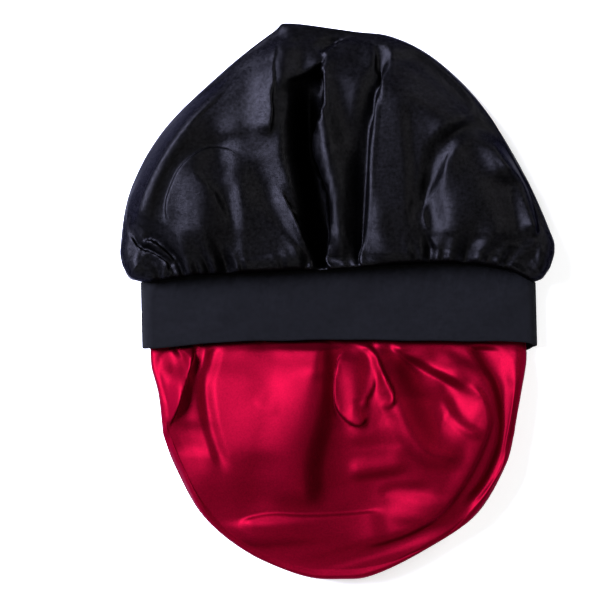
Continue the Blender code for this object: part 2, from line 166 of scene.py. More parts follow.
LINING_MOUTH = [(-128, -33), (-107, -31), (-66, -28), (-25, -27), (43, -27), (84, -28), (115, -28),
                (129, -29)]
LINING_LEFT = [(-128, -33), (-127, -46), (-122, -64), (-119, -90)]
LINING_RIGHT = [(129, -29), (129, -42), (125, -63), (120, -90)]
LINING_FAR = [(-119, -90), (-111, -112), (-92, -146), (-62, -171), (-24, -187), (3, -189.5),
              (25, -186.6), (59, -170), (94, -146), (114, -113), (120, -90)]

# ---------------------------------------------------------------- heights: mm past the mouth, mm
CROWN_PROFILE = [(0, 16), (2, 28.5), (5, 34.2), (12, 37.6), (38, 40.6), (65, 41.5), (110, 40.6),
                 (150, 29.6), (175, 28.2)]
LINING_PROFILE = [(0, 13.2), (4, 16.5), (12, 20), (28, 27), (55, 30.6), (90, 30.5), (125, 26.5), (165, 25.5)]

# ---------------------------------------------------------------- folds, mounds and pleats
CROWN_FOLDS = [
    Fold("front lobe edge", [(-10, 165), (-4, 152), (-5, 131), (-12, 107), (-8, 93), (-1, 72), (0, 50),
                             (-4, 24), (-5, 8)], 5.2, 24, 5, 16.5, 23, 5.5, 8, 1),
    Fold("front lobe rim", [(46, 181), (20, 180), (6, 176), (-4, 170), (-11, 164)],
         3, 20, 3.5, 3.3, 9, 2, 14, 6),
    Fold("rear flap edge", [(-36, 149), (-25, 155), (-17, 160), (-9, 166)], 1.4, 17, 4, 1.5, 15, 2, 10, 6),
    Fold("long lip", [(37, 178), (36, 161), (31, 141), (26, 115), (24, 90), (23, 62), (21, 40), (17, 24),
                      (15, 8)], 1, 23, 3.5, 7.7, 14, 4, 34, 1),
    Fold("top pocket", [(29, 138), (27, 148), (24, 160), (22, 176)], 1.1, 9, 3, 1.2, 11, 1.5, 10, 8),
    Fold("left facet", [(-46, 110), (-46, 120), (-46, 135), (-46, 155), (-45, 180)],
         1.8, 13, 2.5, 0.6, 7, 2, 8, 10),
    Fold("left puff rim", [(-64, 90), (-72, 97), (-85, 99), (-95, 94), (-103, 86), (-108, 76), (-112, 64),
                           (-112, 48)], 1, 15, 5, 0.8, 14, 2.5, 16, 14),
    Fold("left puff flank", [(-68, 86), (-64, 74), (-62, 56), (-62, 38), (-63, 22), (-64, 8)],
         0.7, 26, 9, 1.5, 11, 0, 14, 1),
    Fold("left puff line", [(-74, 48), (-79, 62), (-88, 76), (-98, 86)], 0.4, 10, 4, 1, 9, 0.5, 14, 8),
    Fold("middle streak", [(-10, 8), (-17, 22), (-27, 42), (-33, 59), (-42, 78)],
         3.5, 12, 4, 3.3, 14, 3, 1, 20),
    Fold("middle line", [(-9, 14), (-15, 29), (-22, 45), (-29, 62)], 3.8, 10, 4, 1.6, 7, 1, 4, 12),
    Fold("valley shoulder", [(-12, 8), (-14, 24), (-22, 55), (-30, 90), (-33, 120), (-35, 150)],
         1.6, 31, 14, 14.3, 15, 0, 1, 24),
    Fold("corner tuck", [(-114, 20), (-124, 27), (-138, 35), (-147, 50)], 2.5, 9, 3, 2, 7, 2, 5, 5),
    Fold("corner curl", [(-111, 25), (-120, 33), (-127, 38), (-134, 38)], 3.1, 6, 3, 1.5, 7, 1.5, 6, 6),
    Fold("right puff rim", [(90, 104), (82, 103), (75, 93), (71, 82), (64, 71), (60, 58), (64, 44),
                            (72, 32)], 0.6, 10, 5, 1.8, 10, 1.2, 24, 12),
    Fold("right line", [(64, 104), (73, 113), (82, 121), (92, 128), (106, 138)],
         1.2, 13, 5, 0.8, 9, 0, 10, 4),
    Fold("right rim streak", [(134, 42), (131, 62), (126, 84), (117, 104)], 8, 15, 5, 1.9, 8, 1, 10, 14),
    Fold("right puff crest", [(120, 95), (106, 100), (93, 104), (83, 103), (76, 94), (73, 80), (73, 66),
                              (77, 48)], 0.7, 13, 12, 2.8, 8, 0, 10, 16),
    Fold("facet slope", [(-47, 108), (-47, 118), (-47, 135), (-47, 155), (-46, 182)],
         2.8, 18, 14, 1.2, 13, 0, 12, 6),
    Fold("panel valley", [(43, 48), (44, 66), (44, 90), (42, 118), (40, 140)],
         1.3, 18, 8, 1.4, 22, 0, 18, 24),
]
CROWN_MOUNDS = [
    Mound("left mass", -124, 104, 21, 77, -27, 12.5),
    Mound("left puff", -85, 60, 22, 30, -5, 9.6),
    Mound("main valley", -20, 85, 8, 75, 5, -12),
    Mound("lobe valley", 11, 97, 9, 83, 10, -6.4),
    Mound("front lobe", 1, 123, 11, 62, 9, 2),
    Mound("panel", 62, 114, 17, 62, 27, 4.4),
    Mound("right puff", 95, 58, 22, 32, 16, 4.9),
    Mound("facet foot", -65, 104, 30, 9, 15, -1.2),
    Mound("rear flap", -35, 161, 11, 18, -5, 7.5),
    Mound("left corner", -138, 42, 20, 14, -20, -6.4),
    Mound("left puff flank", -101, 53, 6, 24, -4, 0.7),
    Mound("left puff dip", -78, 74, 10, 42, 6, -4.8),
    Mound("middle mass", -54, 64, 13, 46, -11, -0.6),
    Mound("streak", -38, 61, 10, 37, 32, -4.1),
    Mound("valley floor", -19, 96, 9, 27, 4, 5.7),
    Mound("lobe foot", 4, 62, 8, 44, 24, -4.6),
    Mound("top pocket", 25, 176, 18, 9, 3, -1.7),
    Mound("panel top", 70, 150, 41, 18, -24, -4.6),
    Mound("panel side", 62, 114, 12, 26, 24, -2.2),
    Mound("puff flank", 65, 68, 6, 33, 8, -1.2),
    Mound("puff crest", 85, 84, 26, 26, -17, -3.8),
    Mound("rim ridge", 123, 60, 15, 27, -1, -4.4),
    Mound("seam left", -85, 32, 38, 12, 2, -1.5),
    Mound("seam middle", -4, 40, 30, 11, -12, 1.2),
    Mound("seam right", 95, 36, 47, 8, -5, -1.6),
    Mound("right patch", 116, 98, 15, 15, 6, 9),
    Mound("top patch", 43, 179, 13, 11, 7, 4.6),
]
LINING_FOLDS = [
    Fold("left pleat", [(-119, -90), (-108, -58), (-101, -32), (-99, -20)], 8, 11, 4, 0, 19, 3.5, 14, 1),
    Fold("second pleat", [(-79, -120), (-86, -107), (-93, -83), (-96, -57), (-91, -34), (-88, -20)],
         1.2, 9, 7, 2.2, 7, 0, 18, 1),
    Fold("star crease", [(-57, -65), (-47, -72), (-38, -74)], 0.4, 16, 5, 0, 7, 0, 7, 7),
    Fold("valley shoulder", [(-22, -144), (-24, -118), (-22, -100), (-17, -82), (-13, -58), (-10, -34),
                             (-9, -20)], 4.6, 34, 15, 3.2, 27, 0, 18, 1),
    Fold("low lap", [(34, -145), (6, -148), (-20, -148.5), (-42, -147.5), (-56, -149.5), (-68, -153)],
         2.2, 31, 5, 0.4, 32, 1.5, 14, 10),
    Fold("loop", [(5, -34), (1, -52), (1, -69), (6, -77), (13, -81), (20, -77)],
         2.6, 21, 4, 1, 9, 2.5, 8, 7),
    Fold("loop back", [(31, -74), (35, -64), (28, -48), (23, -36), (13, -27), (9, -18)],
         3, 5, 4, 0.4, 8, 1.5, 8, 1),
    Fold("loop vee", [(20, -74), (18, -67), (22, -57), (24, -44)], 1.2, 5, 3, 0.3, 11, 0.8, 6, 8),
    Fold("hook", [(42, -108), (43, -96), (38, -89), (27, -79)], 0.7, 10, 8, 0.2, 11, 0, 10, 10),
    Fold("patch edge", [(6, -117), (22, -114), (38, -111), (48, -105)], 2.1, 11, 8, 0, 8, 0, 8, 12),
    Fold("lower patch", [(24, -128), (36, -122), (50, -120.5), (68, -120)], 0.3, 8, 7, 0.8, 16, 0, 6, 12),
    Fold("lobe ridge", [(33, -20), (44, -32), (60, -42), (78, -51), (90, -58)],
         3.2, 14, 7, 2.5, 18, 0, 1, 16),
    Fold("lobe edge", [(8, -167), (33, -160), (51, -153), (66, -142), (76, -131), (85, -117), (92, -103),
                       (98, -87), (99, -78), (95, -66), (86, -55)], 2.8, 22, 6, 0.1, 12, 1.5, 26, 14),
    Fold("outer lip", [(80, -138), (94, -122), (103, -103), (106, -90), (106, -78), (102, -59), (94, -44),
                       (87, -32), (81, -20)], 0.8, 10, 8, 5.5, 17, 0, 22, 1),
    Fold("broad ridge", [(86, -104), (63, -104), (50, -92), (41, -75), (33, -54), (27, -29)],
         4.2, 11, 20, 3, 14, 0, 18, 10),
    Fold("dish crease", [(96, -92), (84, -86), (76, -77), (71, -64)], 1.2, 5, 7, 1, 12, 0, 8, 8),
]
LINING_MOUNDS = [
    Mound("main panel", -35, -73, 35, 56, -21, 7.2),
    Mound("lower hollow", -51, -123, 16, 18, 1, -2.4),
    Mound("valley end", 19, -127, 32, 29, -18, -6.8),
    Mound("dish", 72, -57, 14, 24, 34, -8),
    Mound("star", -49, -57, 11, 13, 4, -1.1),
    Mound("panel head", -13, -38, 14, 13, -2, 3),
    Mound("dark left", -90, -66, 6, 33, 0, -1.5),
    Mound("left patch", -100, -93, 15, 10, 0, -1.8),
    Mound("left low", -97, -125, 14, 16, -31, 1.5),
    Mound("left rim", -118, -64, 11, 18, -8, 6.5),
    Mound("loop pad", 13, -60, 6, 30, 1, 2.8),
    Mound("loop side", 29, -56, 3, 9, 2, 2.2),
    Mound("broad ridge", 47, -86, 13, 39, 20, 4),
    Mound("upper dish", 51, -52, 12, 12, -3, -3.9),
    Mound("lobe ridge", 80, -47, 25, 9, -32, 3.6),
    Mound("patch pad", 28, -109, 17, 10, 6, 2),
    Mound("lower pad", 56, -141, 21, 9, -5, 2.5),
    Mound("lobe shoulder", 78, -112, 6, 23, -27, -1),
    Mound("outer band", 129, -72, 7, 52, 1, 7.1),
    Mound("outer low", 105, -134, 6, 31, -38, 7.4),
    Mound("bottom right", 39, -163, 45, 6, 17, -1.5),
    Mound("low crest", -44, -157, 28, 8, 3, 3.6),
    Mound("edge right", 68, -37, 48, 8, 8, -0.8),
]
CROWN_PLEATS = [
    Pleat(-118, 1.8, 10, 2, 0.1), Pleat(-108, 1.6, 14, 2.4, 0.1), Pleat(-102.5, 2.6, 20, 4, 0.05),
    Pleat(-92, 2, 14, 2, 0.1), Pleat(-85, 2.6, 22, 4.2, 0), Pleat(-73.5, 4, 26, 5, -0.05),
    Pleat(-63, 1.6, 12, 1.6, 0), Pleat(-36, 1.6, 10, 1, -0.2), Pleat(-21, 1.6, 22, 2, -0.4),
    Pleat(-12, 1.8, 24, 2.4, -0.3), Pleat(9, 1.6, 12, 1.2, 0), Pleat(53, 2.4, 18, 2, -0.3),
    Pleat(61, 3.4, 22, 4, -0.2), Pleat(69, 2, 12, 2, -0.15), Pleat(84.5, 4.6, 28, 5, 0),
    Pleat(97.5, 4.2, 28, 2, 0.05), Pleat(110, 2.4, 24, 1.4, 0), Pleat(125, 4, 15, 1.6, 0.1),
]
LINING_PLEATS = [
    Pleat(-110, 2, 16, 2, 0.25), Pleat(-96, 3, 26, 3, 0.1), Pleat(-50, 6, 7, 2, 0),
    Pleat(-5, 4, 26, 3, 0), Pleat(24, 2, 12, 0.9, -0.1), Pleat(38, 3, 16, 1.2, -0.4),
]


# ---------------------------------------------------------------- the band's section and unevenness
BAND_WIDTH = 46.0
BAND_STRETCH = 1.012          # the jersey lies a little wider than its mouth
BAND_COLUMNS = 420
BAND_END_CLUSTER = 0.5        # share of the columns drawn together towards its ends
FACE_ROWS = 24
FACE_TOP = -1.8               # where its flat face starts, mm above the seam
FACE_FOOT = 1.4               # and where it ends, mm above the low edge
# share of the way down, mm above that, mm in from the outer face
BAND_SECTION = ([(0, -5.0, 1.9), (0, -2.0, 1.9), (0, -0.7, 1.7), (0, -0.15, 1.25), (0, 0.0, 0.75),
                 (0, -0.2, 0.3), (0, -0.8, 0.05), (0, FACE_TOP, 0.0)]
                + [(row / FACE_ROWS, FACE_TOP * (1 - row / FACE_ROWS) + FACE_FOOT * row / FACE_ROWS, 0.0)
                   for row in range(1, FACE_ROWS)]
                + [(1, FACE_FOOT, 0.0), (1, 0.7, 0.12), (1, 0.2, 0.5), (1, 0.0, 1.0), (1, 0.2, 1.5),
                   (1, 0.8, 1.9), (1, 2.5, 2.0), (0.8, 0, 2.0), (0.5, 0, 2.0), (0.25, 0, 2.0),
                   (0.16, 0, 2.0)])
# length mm, height mm, start in turns
SEAM_PUCKERS = [(7.3, 0.16, 0.1), (11.9, 0.20, 0.6), (4.7, 0.09, 0.3), (23.0, 0.18, 0.8)]
BAND_CREASES = [(61.0, 0.30, 0.15), (37.0, 0.16, 0.7), (149.0, 0.35, 0.35)]
EDGE_WAVES = [(83.0, 0.25, 0.2), (41.0, 0.15, 0.6)]
PUCKER_REACH = 7.0
PUCKER_SLANT = 0.3            # sideways mm for each mm down
CREASE_SLANT = 0.9
UNEVEN_FROM_END = 12.0        # puckers and creases rise over this distance from the band's ends


# ---------------------------------------------------------------- curves
def spline(points):
    """Smooth line through the waypoints."""
    knots = np.array(points, float)
    knots = np.vstack([2 * knots[0] - knots[1], knots, 2 * knots[-1] - knots[-2]])
    share = np.linspace(0, 1, SPLINE_STEPS, endpoint=False)[:, None]
    pieces = []
    for before, start, end, after in zip(knots, knots[1:], knots[2:], knots[3:]):
        linear = (end - before) * share
        square = (2 * before - 5 * start + 4 * end - after) * share ** 2
        cube = (3 * start - before - 3 * end + after) * share ** 3
        pieces.append(start + 0.5 * (linear + square + cube))
    pieces.append(knots[-2][None])
    return np.vstack(pieces)


def walk(line, share):
    """Points at the given shares of a line's length."""
    steps = np.linalg.norm(np.diff(line, axis=0), axis=1)
    length = np.concatenate([[0.0], np.cumsum(steps)])
    at = np.asarray(share) * length[-1]
    return np.stack([np.interp(at, length, line[:, axis]) for axis in range(line.shape[1])], axis=-1)


def ease(value):
    """Smooth step from 0 to 1."""
    value = np.clip(value, 0, 1)
    return value * value * (3 - 2 * value)


def clustered(count, cluster):
    """Shares from 0 to 1, part of them drawn together towards both ends."""
    even = np.linspace(0, 1, count)
    return cluster * (0.5 - 0.5 * np.cos(np.pi * even)) + (1 - cluster) * even


def rounded(inset, radius):
    """Quarter-round rise from 0 at an edge to 1 one radius inside it."""
    return np.sqrt(1 - (1 - np.clip(inset / radius, 0, 1)) ** 2)


def path_frame(plan, line):
    """Distance to a line (left positive), distance walked along it, distance left, and its left normal."""
    start = line[:-1]
    step = line[1:] - start
    length = np.maximum(np.linalg.norm(step, axis=1), TINY)
    rel = plan[:, None, :] - start[None]
    share = np.clip((rel * step[None]).sum(2) / length ** 2, 0, 1)
    away = rel - share[..., None] * step[None]
    nearest = (away ** 2).sum(2).argmin(1)
    row = np.arange(len(plan))
    off = away[row, nearest]
    heading = step[nearest] / length[nearest][:, None]
    side = np.where(heading[:, 0] * off[:, 1] - heading[:, 1] * off[:, 0] < 0, -1.0, 1.0)
    walked = np.concatenate([[0.0], np.cumsum(length)])
    along = walked[nearest] + share[row, nearest] * length[nearest]
    normal = np.stack([-heading[:, 1], heading[:, 0]], axis=1)
    return side * np.linalg.norm(off, axis=1), along, walked[-1] - along, normal


# ---------------------------------------------------------------- relief
def fold_relief(plan, folds):
    """Height and sideways shift that a table of folds gives each plan point."""
    height = np.zeros(len(plan))
    shift = np.zeros_like(plan)
    for fold in folds:
        line = spline(fold.path)
        reach = max(fold.back, fold.drop + fold.run, LIP_BACK_REACH)
        low = line.min(axis=0) - reach
        high = line.max(axis=0) + reach
        near = np.nonzero(((plan > low) & (plan < high)).all(axis=1))[0]
        if len(near) == 0:
            continue
        side, along, left, normal = path_frame(plan[near], line)
        behind = 1 - ease(side / fold.back)
        fall = ease(-side / fold.drop)
        hollow = fold.foot * fall * (1 - ease((-side - fold.drop) / fold.run))
        shape = np.where(side >= 0, fold.rise * behind, fold.rise * (1 - fall) - hollow)
        fade = ease(along / fold.fade_in) * ease(left / fold.fade_out)
        hang = np.where(side >= 0, 1 - ease(side / LIP_BACK_REACH), 1 - fall)
        height[near] += shape * fade
        shift[near] -= (fold.lean * hang * fade)[:, None] * normal
    return height, shift


def mound_relief(plan, mounds):
    """Height that a table of broad swellings gives each plan point."""
    height = np.zeros(len(plan))
    for mound in mounds:
        turn = np.radians(mound.turn)
        x = plan[:, 0] - mound.x
        y = plan[:, 1] - mound.y
        across = (x * np.cos(turn) + y * np.sin(turn)) / mound.half_x
        along = (y * np.cos(turn) - x * np.sin(turn)) / mound.half_y
        height += mound.rise * np.exp(-across ** 2 - along ** 4)
    return height


def pleat_relief(seam_x, out, pleats):
    """Height that a table of pinched pleats gives points at a distance out from their seam."""
    height = np.zeros(len(seam_x))
    for pleat in pleats:
        across = np.abs(seam_x - pleat.x - pleat.drift * out) / (pleat.width * (1 + out / PLEAT_SPREAD))
        pocket = np.exp(-across ** 2) * np.exp(-(out / pleat.reach) ** 2)
        crest = np.exp(-((across - PLEAT_CREST_AT) / PLEAT_CREST_WIDTH) ** 2)
        crest = crest * np.exp(-(out / (PLEAT_CREST_REACH * pleat.reach)) ** 2)
        height += pleat.depth * (PLEAT_CREST * crest - pocket)
    return height * ease(out / PLEATS_FROM_SEAM)


# ---------------------------------------------------------------- the two gathered bags
def ply_plan(bag, across, along):
    """Plan points of a ply: ruled along its neck, then filled between its four free edges."""
    mouth, far, left, right = bag.edges
    free = np.clip((along - bag.neck_share) / (1 - bag.neck_share), 0, 1)
    s = across[:, None]
    t = free[:, None]
    ruled = (1 - t) * walk(mouth, across) + t * walk(far, across)
    sides = (1 - s) * walk(left, free) + s * walk(right, free)
    corners = (1 - s) * (1 - t) * mouth[0] + s * (1 - t) * mouth[-1] + (1 - s) * t * far[0] + s * t * far[-1]
    plan = ruled + sides - corners
    held = along < bag.neck_share
    if held.any():
        share = (along[held] / bag.neck_share)[:, None]
        plan[held] = (1 - share) * walk(bag.sewn, across[held]) + share * walk(mouth, across[held])
    return plan, held


def profile_height(profile, out):
    """Smooth height at a distance past the mouth."""
    line = spline(profile)
    return np.interp(out, line[:, 0], line[:, 1])


def ply_place(bag, across, along):
    """Plan, distance from the rim, distance past the mouth, and x where each column leaves the mouth."""
    plan, held = ply_plan(bag, across, along)
    mouth, far, left, right = bag.edges
    rim = np.vstack([bag.sewn[:1], left[:-1], far, right[::-1], bag.sewn[-1:]])
    inset = np.abs(path_frame(plan, rim)[0])
    inset[(across <= 0) | (across >= 1) | (along >= 1)] = 0
    out = np.where(held, 0, np.abs(path_frame(plan, mouth)[0]))
    return plan, inset, out, walk(mouth, across)[:, 0]


def underside_height(bag, inset, out):
    """Height of a bag's lower ply, and the height and rounding of its rim."""
    open_share = ease(out / RIM_CHANGE)
    radius = SEAM_RIM_RADIUS + (bag.rim_radius - SEAM_RIM_RADIUS) * open_share
    rim_height = BAND_LYING_HEIGHT / 2 + bag.rim_lift * open_share
    rounding = rounded(inset, radius)
    floor = bag.floor_lift * (1 - ease((out - BACK_EDGE_REACH) / FLOOR_REACH))
    return floor + (rim_height - floor) * (1 - rounding), rim_height, rounding


def upper_ply(bag, across, along):
    """Points of a bag's upper ply with its folds, before its cloth settles."""
    plan, inset, out, seam_x = ply_place(bag, across, along)
    low, rim_height, rounding = underside_height(bag, inset, out)
    shoulder = SHOULDER_SHARE + (1 - SHOULDER_SHARE) * ease(inset / SHOULDER_REACH)
    height = rim_height + (profile_height(bag.profile, out) - rim_height) * shoulder
    folds, shift = fold_relief(plan, bag.folds)
    folds = folds + mound_relief(plan, bag.mounds)
    loose = ease(inset / FOLDS_FROM_RIM) * ease((out - MOUTH_LEVEL) / FOLDS_FROM_MOUTH)
    top = rim_height + (height - rim_height) * rounding + folds * loose
    top = np.maximum(top, low + LEAST_ROOM * rounding)
    plan = plan + shift * loose[:, None]
    plan[:, 1] -= bag.bulge * ease(out / MOUTH_LEVEL) * (1 - ease(out / BULGE_REACH)) * rounding
    return np.column_stack([plan, top])


def shares(bag, columns, rows):
    """Shares across and along of a bag's grid, drawn together towards its sides and its rim."""
    across = clustered(columns, SIDE_CLUSTER)
    along = np.linspace(0, 1, rows)
    free = np.clip((along - bag.neck_share) / (1 - bag.neck_share), 0, 1)
    free = np.sin(free * np.pi / 2) ** RIM_CLUSTER
    along = np.where(along < bag.neck_share, along, bag.neck_share + (1 - bag.neck_share) * free)
    return [share.ravel() for share in np.meshgrid(across, along, indexing="ij")]


# ---------------------------------------------------------------- meshes
def grid_faces(columns, rows, closed=False):
    """Quads of a grid of vertices that runs column by column, as index rows."""
    index = np.arange(columns * rows).reshape(columns, rows)
    if closed:
        index = np.vstack([index, index[:1]])
    return np.stack([index[:-1, :-1], index[1:, :-1], index[1:, 1:], index[:-1, 1:]], axis=-1).reshape(-1, 4)


def mesh_piece(name, points, faces, lie=None):
    """A smooth-shaded piece from points in mm, with the cloth's own lie as its UV map, in metres."""
    mesh = bpy.data.meshes.new(name)
    mesh.from_pydata((np.asarray(points) * MM).tolist(), [], [list(map(int, face)) for face in faces])
    mesh.polygons.foreach_set("use_smooth", [True] * len(mesh.polygons))
    if lie is not None:
        corner = np.zeros(len(mesh.loops), np.int32)
        mesh.loops.foreach_get("vertex_index", corner)
        layer = mesh.uv_layers.new(name=CLOTH_LIE)
        layer.data.foreach_set("uv", (np.asarray(lie)[corner] * MM).astype(np.float32).ravel())
    mesh.update()
    piece = bpy.data.objects.new(name, mesh)
    bpy.context.scene.collection.objects.link(piece)
    return piece


def between(grid):
    """A grid with a smooth halfway point put between every two columns."""
    before = np.concatenate([2 * grid[:1] - grid[1:2], grid[:-2]])
    after = np.concatenate([grid[2:], 2 * grid[-1:] - grid[-2:-1]])
    half = (9 * (grid[:-1] + grid[1:]) - before - after) / 16
    fine = np.empty((2 * len(grid) - 1,) + grid.shape[1:])
    fine[::2] = grid
    fine[1::2] = half
    return fine


def finer(grid):
    """The same surface with twice the columns and rows."""
    return between(between(grid).transpose(1, 0, 2)).transpose(1, 0, 2)


def softened(field, rounds):
    """A field over a grid, each value averaged some rounds with those beside it both ways."""
    for _ in range(rounds):
        field = field.copy()
        field[1:-1] = (field[:-2] + 2 * field[1:-1] + field[2:]) / 4
        field[:, 1:-1] = (field[:, :-2] + 2 * field[:, 1:-1] + field[:, 2:]) / 4
    return field


def settle(name, grid):
    """Let a ply with some spare cloth settle under its own weight between its held edges."""
    columns, rows = grid.shape[:2]
    sheet = mesh_piece(name, grid.reshape(-1, 3), grid_faces(columns, rows))
    spare = grid * np.array(SPARE_CLOTH)
    sheet.shape_key_add(name="Basis")
    uncut = sheet.shape_key_add(name="spare cloth")
    uncut.data.foreach_set("co", (spare.reshape(-1, 3) * MM).astype(np.float32).ravel())
    uncut.value = 0
    hold = np.zeros((columns, rows))
    hold[1] = hold[-2] = hold[:, -2] = EDGE_HOLD
    hold[0] = hold[-1] = hold[:, 0] = hold[:, -1] = 1
    group = sheet.vertex_groups.new(name="held edge")
    for weight in (EDGE_HOLD, 1.0):
        group.add([int(index) for index in np.nonzero(hold.ravel() == weight)[0]], weight, "REPLACE")
    cloth = sheet.modifiers.new("settling", "CLOTH")
    for setting, value in SATIN_CLOTH.items():
        setattr(cloth.settings, setting, value)
    cloth.settings.vertex_group_mass = group.name
    cloth.settings.rest_shape_key = uncut
    cloth.collision_settings.use_collision = False
    cloth.collision_settings.use_self_collision = False
    scene = bpy.context.scene
    scene.frame_start = 1
    scene.frame_end = SETTLING_FRAMES + 1
    cloth.point_cache.frame_end = SETTLING_FRAMES + 1
    for number in range(1, SETTLING_FRAMES + 1):
        scene.frame_set(number)
    shown = sheet.evaluated_get(bpy.context.evaluated_depsgraph_get())
    settled = np.zeros(columns * rows * 3, np.float32)
    shown.data.vertices.foreach_get("co", settled)
    mesh = sheet.data
    bpy.data.objects.remove(sheet, do_unlink=True)
    bpy.data.meshes.remove(mesh)
    scene.frame_set(1)
    moved = softened(settled.reshape(grid.shape) / MM - grid, SETTLING_SOFTNESS)
    far = np.linalg.norm(moved, axis=2, keepdims=True)
    return grid + moved * np.minimum(1, SETTLING_CAP / np.maximum(far, TINY))


def with_tuck(bag, across, top, flat):
    """A bag's two plies led on past its seam by the rows that are tucked into the band."""
    tucked_top = []
    tucked_flat = []
    for step, upper_height, lower_height in bag.tuck:
        edge = walk(bag.sewn, across) * np.array([TUCK_NARROWING, 1]) + [0, step]
        for rows, height in ((tucked_top, upper_height), (tucked_flat, lower_height)):
            level = np.full(len(across), height)
            level[0] = level[-1] = BAND_LYING_HEIGHT / 2
            rows.append(np.column_stack([edge, level])[:, None])
    return np.concatenate(tucked_top + [top], axis=1), np.concatenate(tucked_flat + [flat], axis=1)


def underside_faces(upper, under, kept):
    """Faces of the underside, which has fewer rows: its end faces take up all vertices of the rim."""
    faces = []
    last = len(upper) - 1
    for row, (near, beyond) in enumerate(zip(kept, kept[1:])):
        faces.append((under[1, row], *upper[0, near:beyond + 1], under[1, row + 1]))
        for column in range(1, last - 1):
            faces.append((under[column + 1, row], under[column, row], under[column, row + 1],
                          under[column + 1, row + 1]))
        faces.append((*upper[last, near:beyond + 1][::-1], under[last - 1, row], under[last - 1, row + 1]))
    return faces


def bag_piece(name, bag):
    """One bag of cloth: settled upper ply with its pleats, and a flat underside, joined round the rim."""
    grid = upper_ply(bag, *shares(bag, *bag.size)).reshape(*bag.size, 3)
    grid = settle(name, grid)
    grid = finer(grid)
    columns, rows = grid.shape[:2]
    across, along = shares(bag, columns, rows)
    plan, inset, out, seam_x = ply_place(bag, across, along)
    low, _, rounding = underside_height(bag, inset, out)
    top = grid.reshape(-1, 3).copy()
    top[:, 2] += pleat_relief(seam_x, out, bag.pleats) * ease(inset / PLEATS_FROM_RIM)
    top[:, 2] = np.maximum(top[:, 2], low + LEAST_ROOM * rounding)
    flat = np.column_stack([plan, low]).reshape(columns, rows, 3)
    top, flat = with_tuck(bag, across.reshape(columns, rows)[:, 0], top.reshape(columns, rows, 3), flat)
    rows = top.shape[1]
    tucked = len(bag.tuck)
    upper = np.arange(columns * rows).reshape(columns, rows)
    # the underside keeps the tucked rows, the first row after them and a few up to the rim
    sparse = range(rows - 1, tucked + UNDERSIDE_STEP // 2, -UNDERSIDE_STEP)
    kept = [*range(tucked + 1), *reversed(sparse)]
    under = upper[:, kept].copy()
    under[1:-1, :-1] = columns * rows + np.arange((columns - 2) * (len(kept) - 1)).reshape(columns - 2, -1)
    inner = flat[1:-1, kept[:-1]]
    points = np.vstack([top.reshape(-1, 3), inner.reshape(-1, 3)])
    lie = np.vstack([flat[..., :2].reshape(-1, 2), inner[..., :2].reshape(-1, 2)])
    faces = [*grid_faces(columns, rows), *underside_faces(upper, under, kept)]
    if bag.mirrored:
        faces = [face[::-1] for face in faces]
    return mesh_piece(name, points, faces, lie)


# ---------------------------------------------------------------- the band
def waves(at, table):
    """Sum of a table of sine waves: length in mm, height in mm, start in turns."""
    return sum(height * np.sin(2 * np.pi * (at / length + start)) for length, height, start in table)


def band_piece(name):
    """The doubled jersey band: one ring whose section turns in at the seam and folds under below."""
    across = clustered(BAND_COLUMNS, BAND_END_CLUSTER)
    half = BAND_LYING_HEIGHT / 2
    stretch = np.array([BAND_STRETCH, 1.0])
    upper_line = walk(spline(SEAM), across) * stretch - [0, SEAM_GAP]
    inset = np.minimum(across, 1 - across) * (SEAM[-1][0] - SEAM[0][0])
    bulge = half * rounded(inset, half)
    plies = []
    for low_edge, height in ((BAND_LOW_EDGE, half + bulge), (BAND_LOW_EDGE_BACK, half - bulge)):
        lower_line = walk(spline(low_edge), across) * stretch
        plies.append(np.column_stack([upper_line, lower_line, height, inset]))
    ring = np.vstack([plies[0], plies[1][::-1][1:-1]])
    seam_plan, edge_plan = ring[:, :2], ring[:, 2:4]
    x, height, inset = ring[:, 0], ring[:, 4], ring[:, 5]
    ahead = np.roll(x, -1) - np.roll(x, 1)
    rising = np.roll(height, -1) - np.roll(height, 1)
    outward = np.column_stack([-rising, ahead])
    outward /= np.linalg.norm(outward, axis=1)[:, None]
    walked = np.cumsum(np.hypot(ahead, rising) / 2)
    on_top = ease((height - half) / half)
    from_end = ease(inset / UNEVEN_FROM_END)
    points = []
    lie = []
    for share, offset, depth in BAND_SECTION:
        plan = seam_plan * (1 - share) + edge_plan * share
        down = share * BAND_WIDTH - offset
        pucker = waves(x + PUCKER_SLANT * down, SEAM_PUCKERS) * np.exp(-down / PUCKER_REACH)
        creases = waves(x + CREASE_SLANT * down, BAND_CREASES) * np.sin(np.pi * share)
        raised = (pucker + creases) * on_top * from_end - depth
        points.append(np.column_stack([plan[:, 0] + raised * outward[:, 0],
                                       plan[:, 1] + offset + waves(x, EDGE_WAVES) * share,
                                       height + raised * outward[:, 1]]))
        lie.append(np.column_stack([walked, np.full(len(ring), -down + 2 * depth)]))
    points = np.stack(points, axis=1)
    lie = np.stack(lie, axis=1)
    faces = grid_faces(len(ring), len(BAND_SECTION), closed=True)[:, ::-1]
    return mesh_piece(name, points.reshape(-1, 3), faces, lie.reshape(-1, 2))


# ---------------------------------------------------------------- values of the finishes
class SatinLook(NamedTuple):
    """Values of one satin."""

    colour: tuple
    edge_colour: tuple        # seen at a low angle
    metallic: float
    roughness: float
    specular: float
    pitch: float              # between floats, m
    grain_scale: float        # cycles a metre
    glint: float              # change of colour with the grain
    rough_change: float       # change of roughness with the grain
    change: float             # slow change of colour over the cloth
    bump_height: float        # of the weave, m
    bump: float               # its strength
    crease_height: float      # of small handling creases, m


class JerseyLook(NamedTuple):
    """Values of the knitted jersey."""

    colour: tuple
    roughness: float
    specular: float
    wale: float               # width of a stitch, m
    course: float             # height of a stitch, m
    change: float             # slow change of colour over the cloth
    bump_height: float        # of the knit, m
    bump: float               # its strength


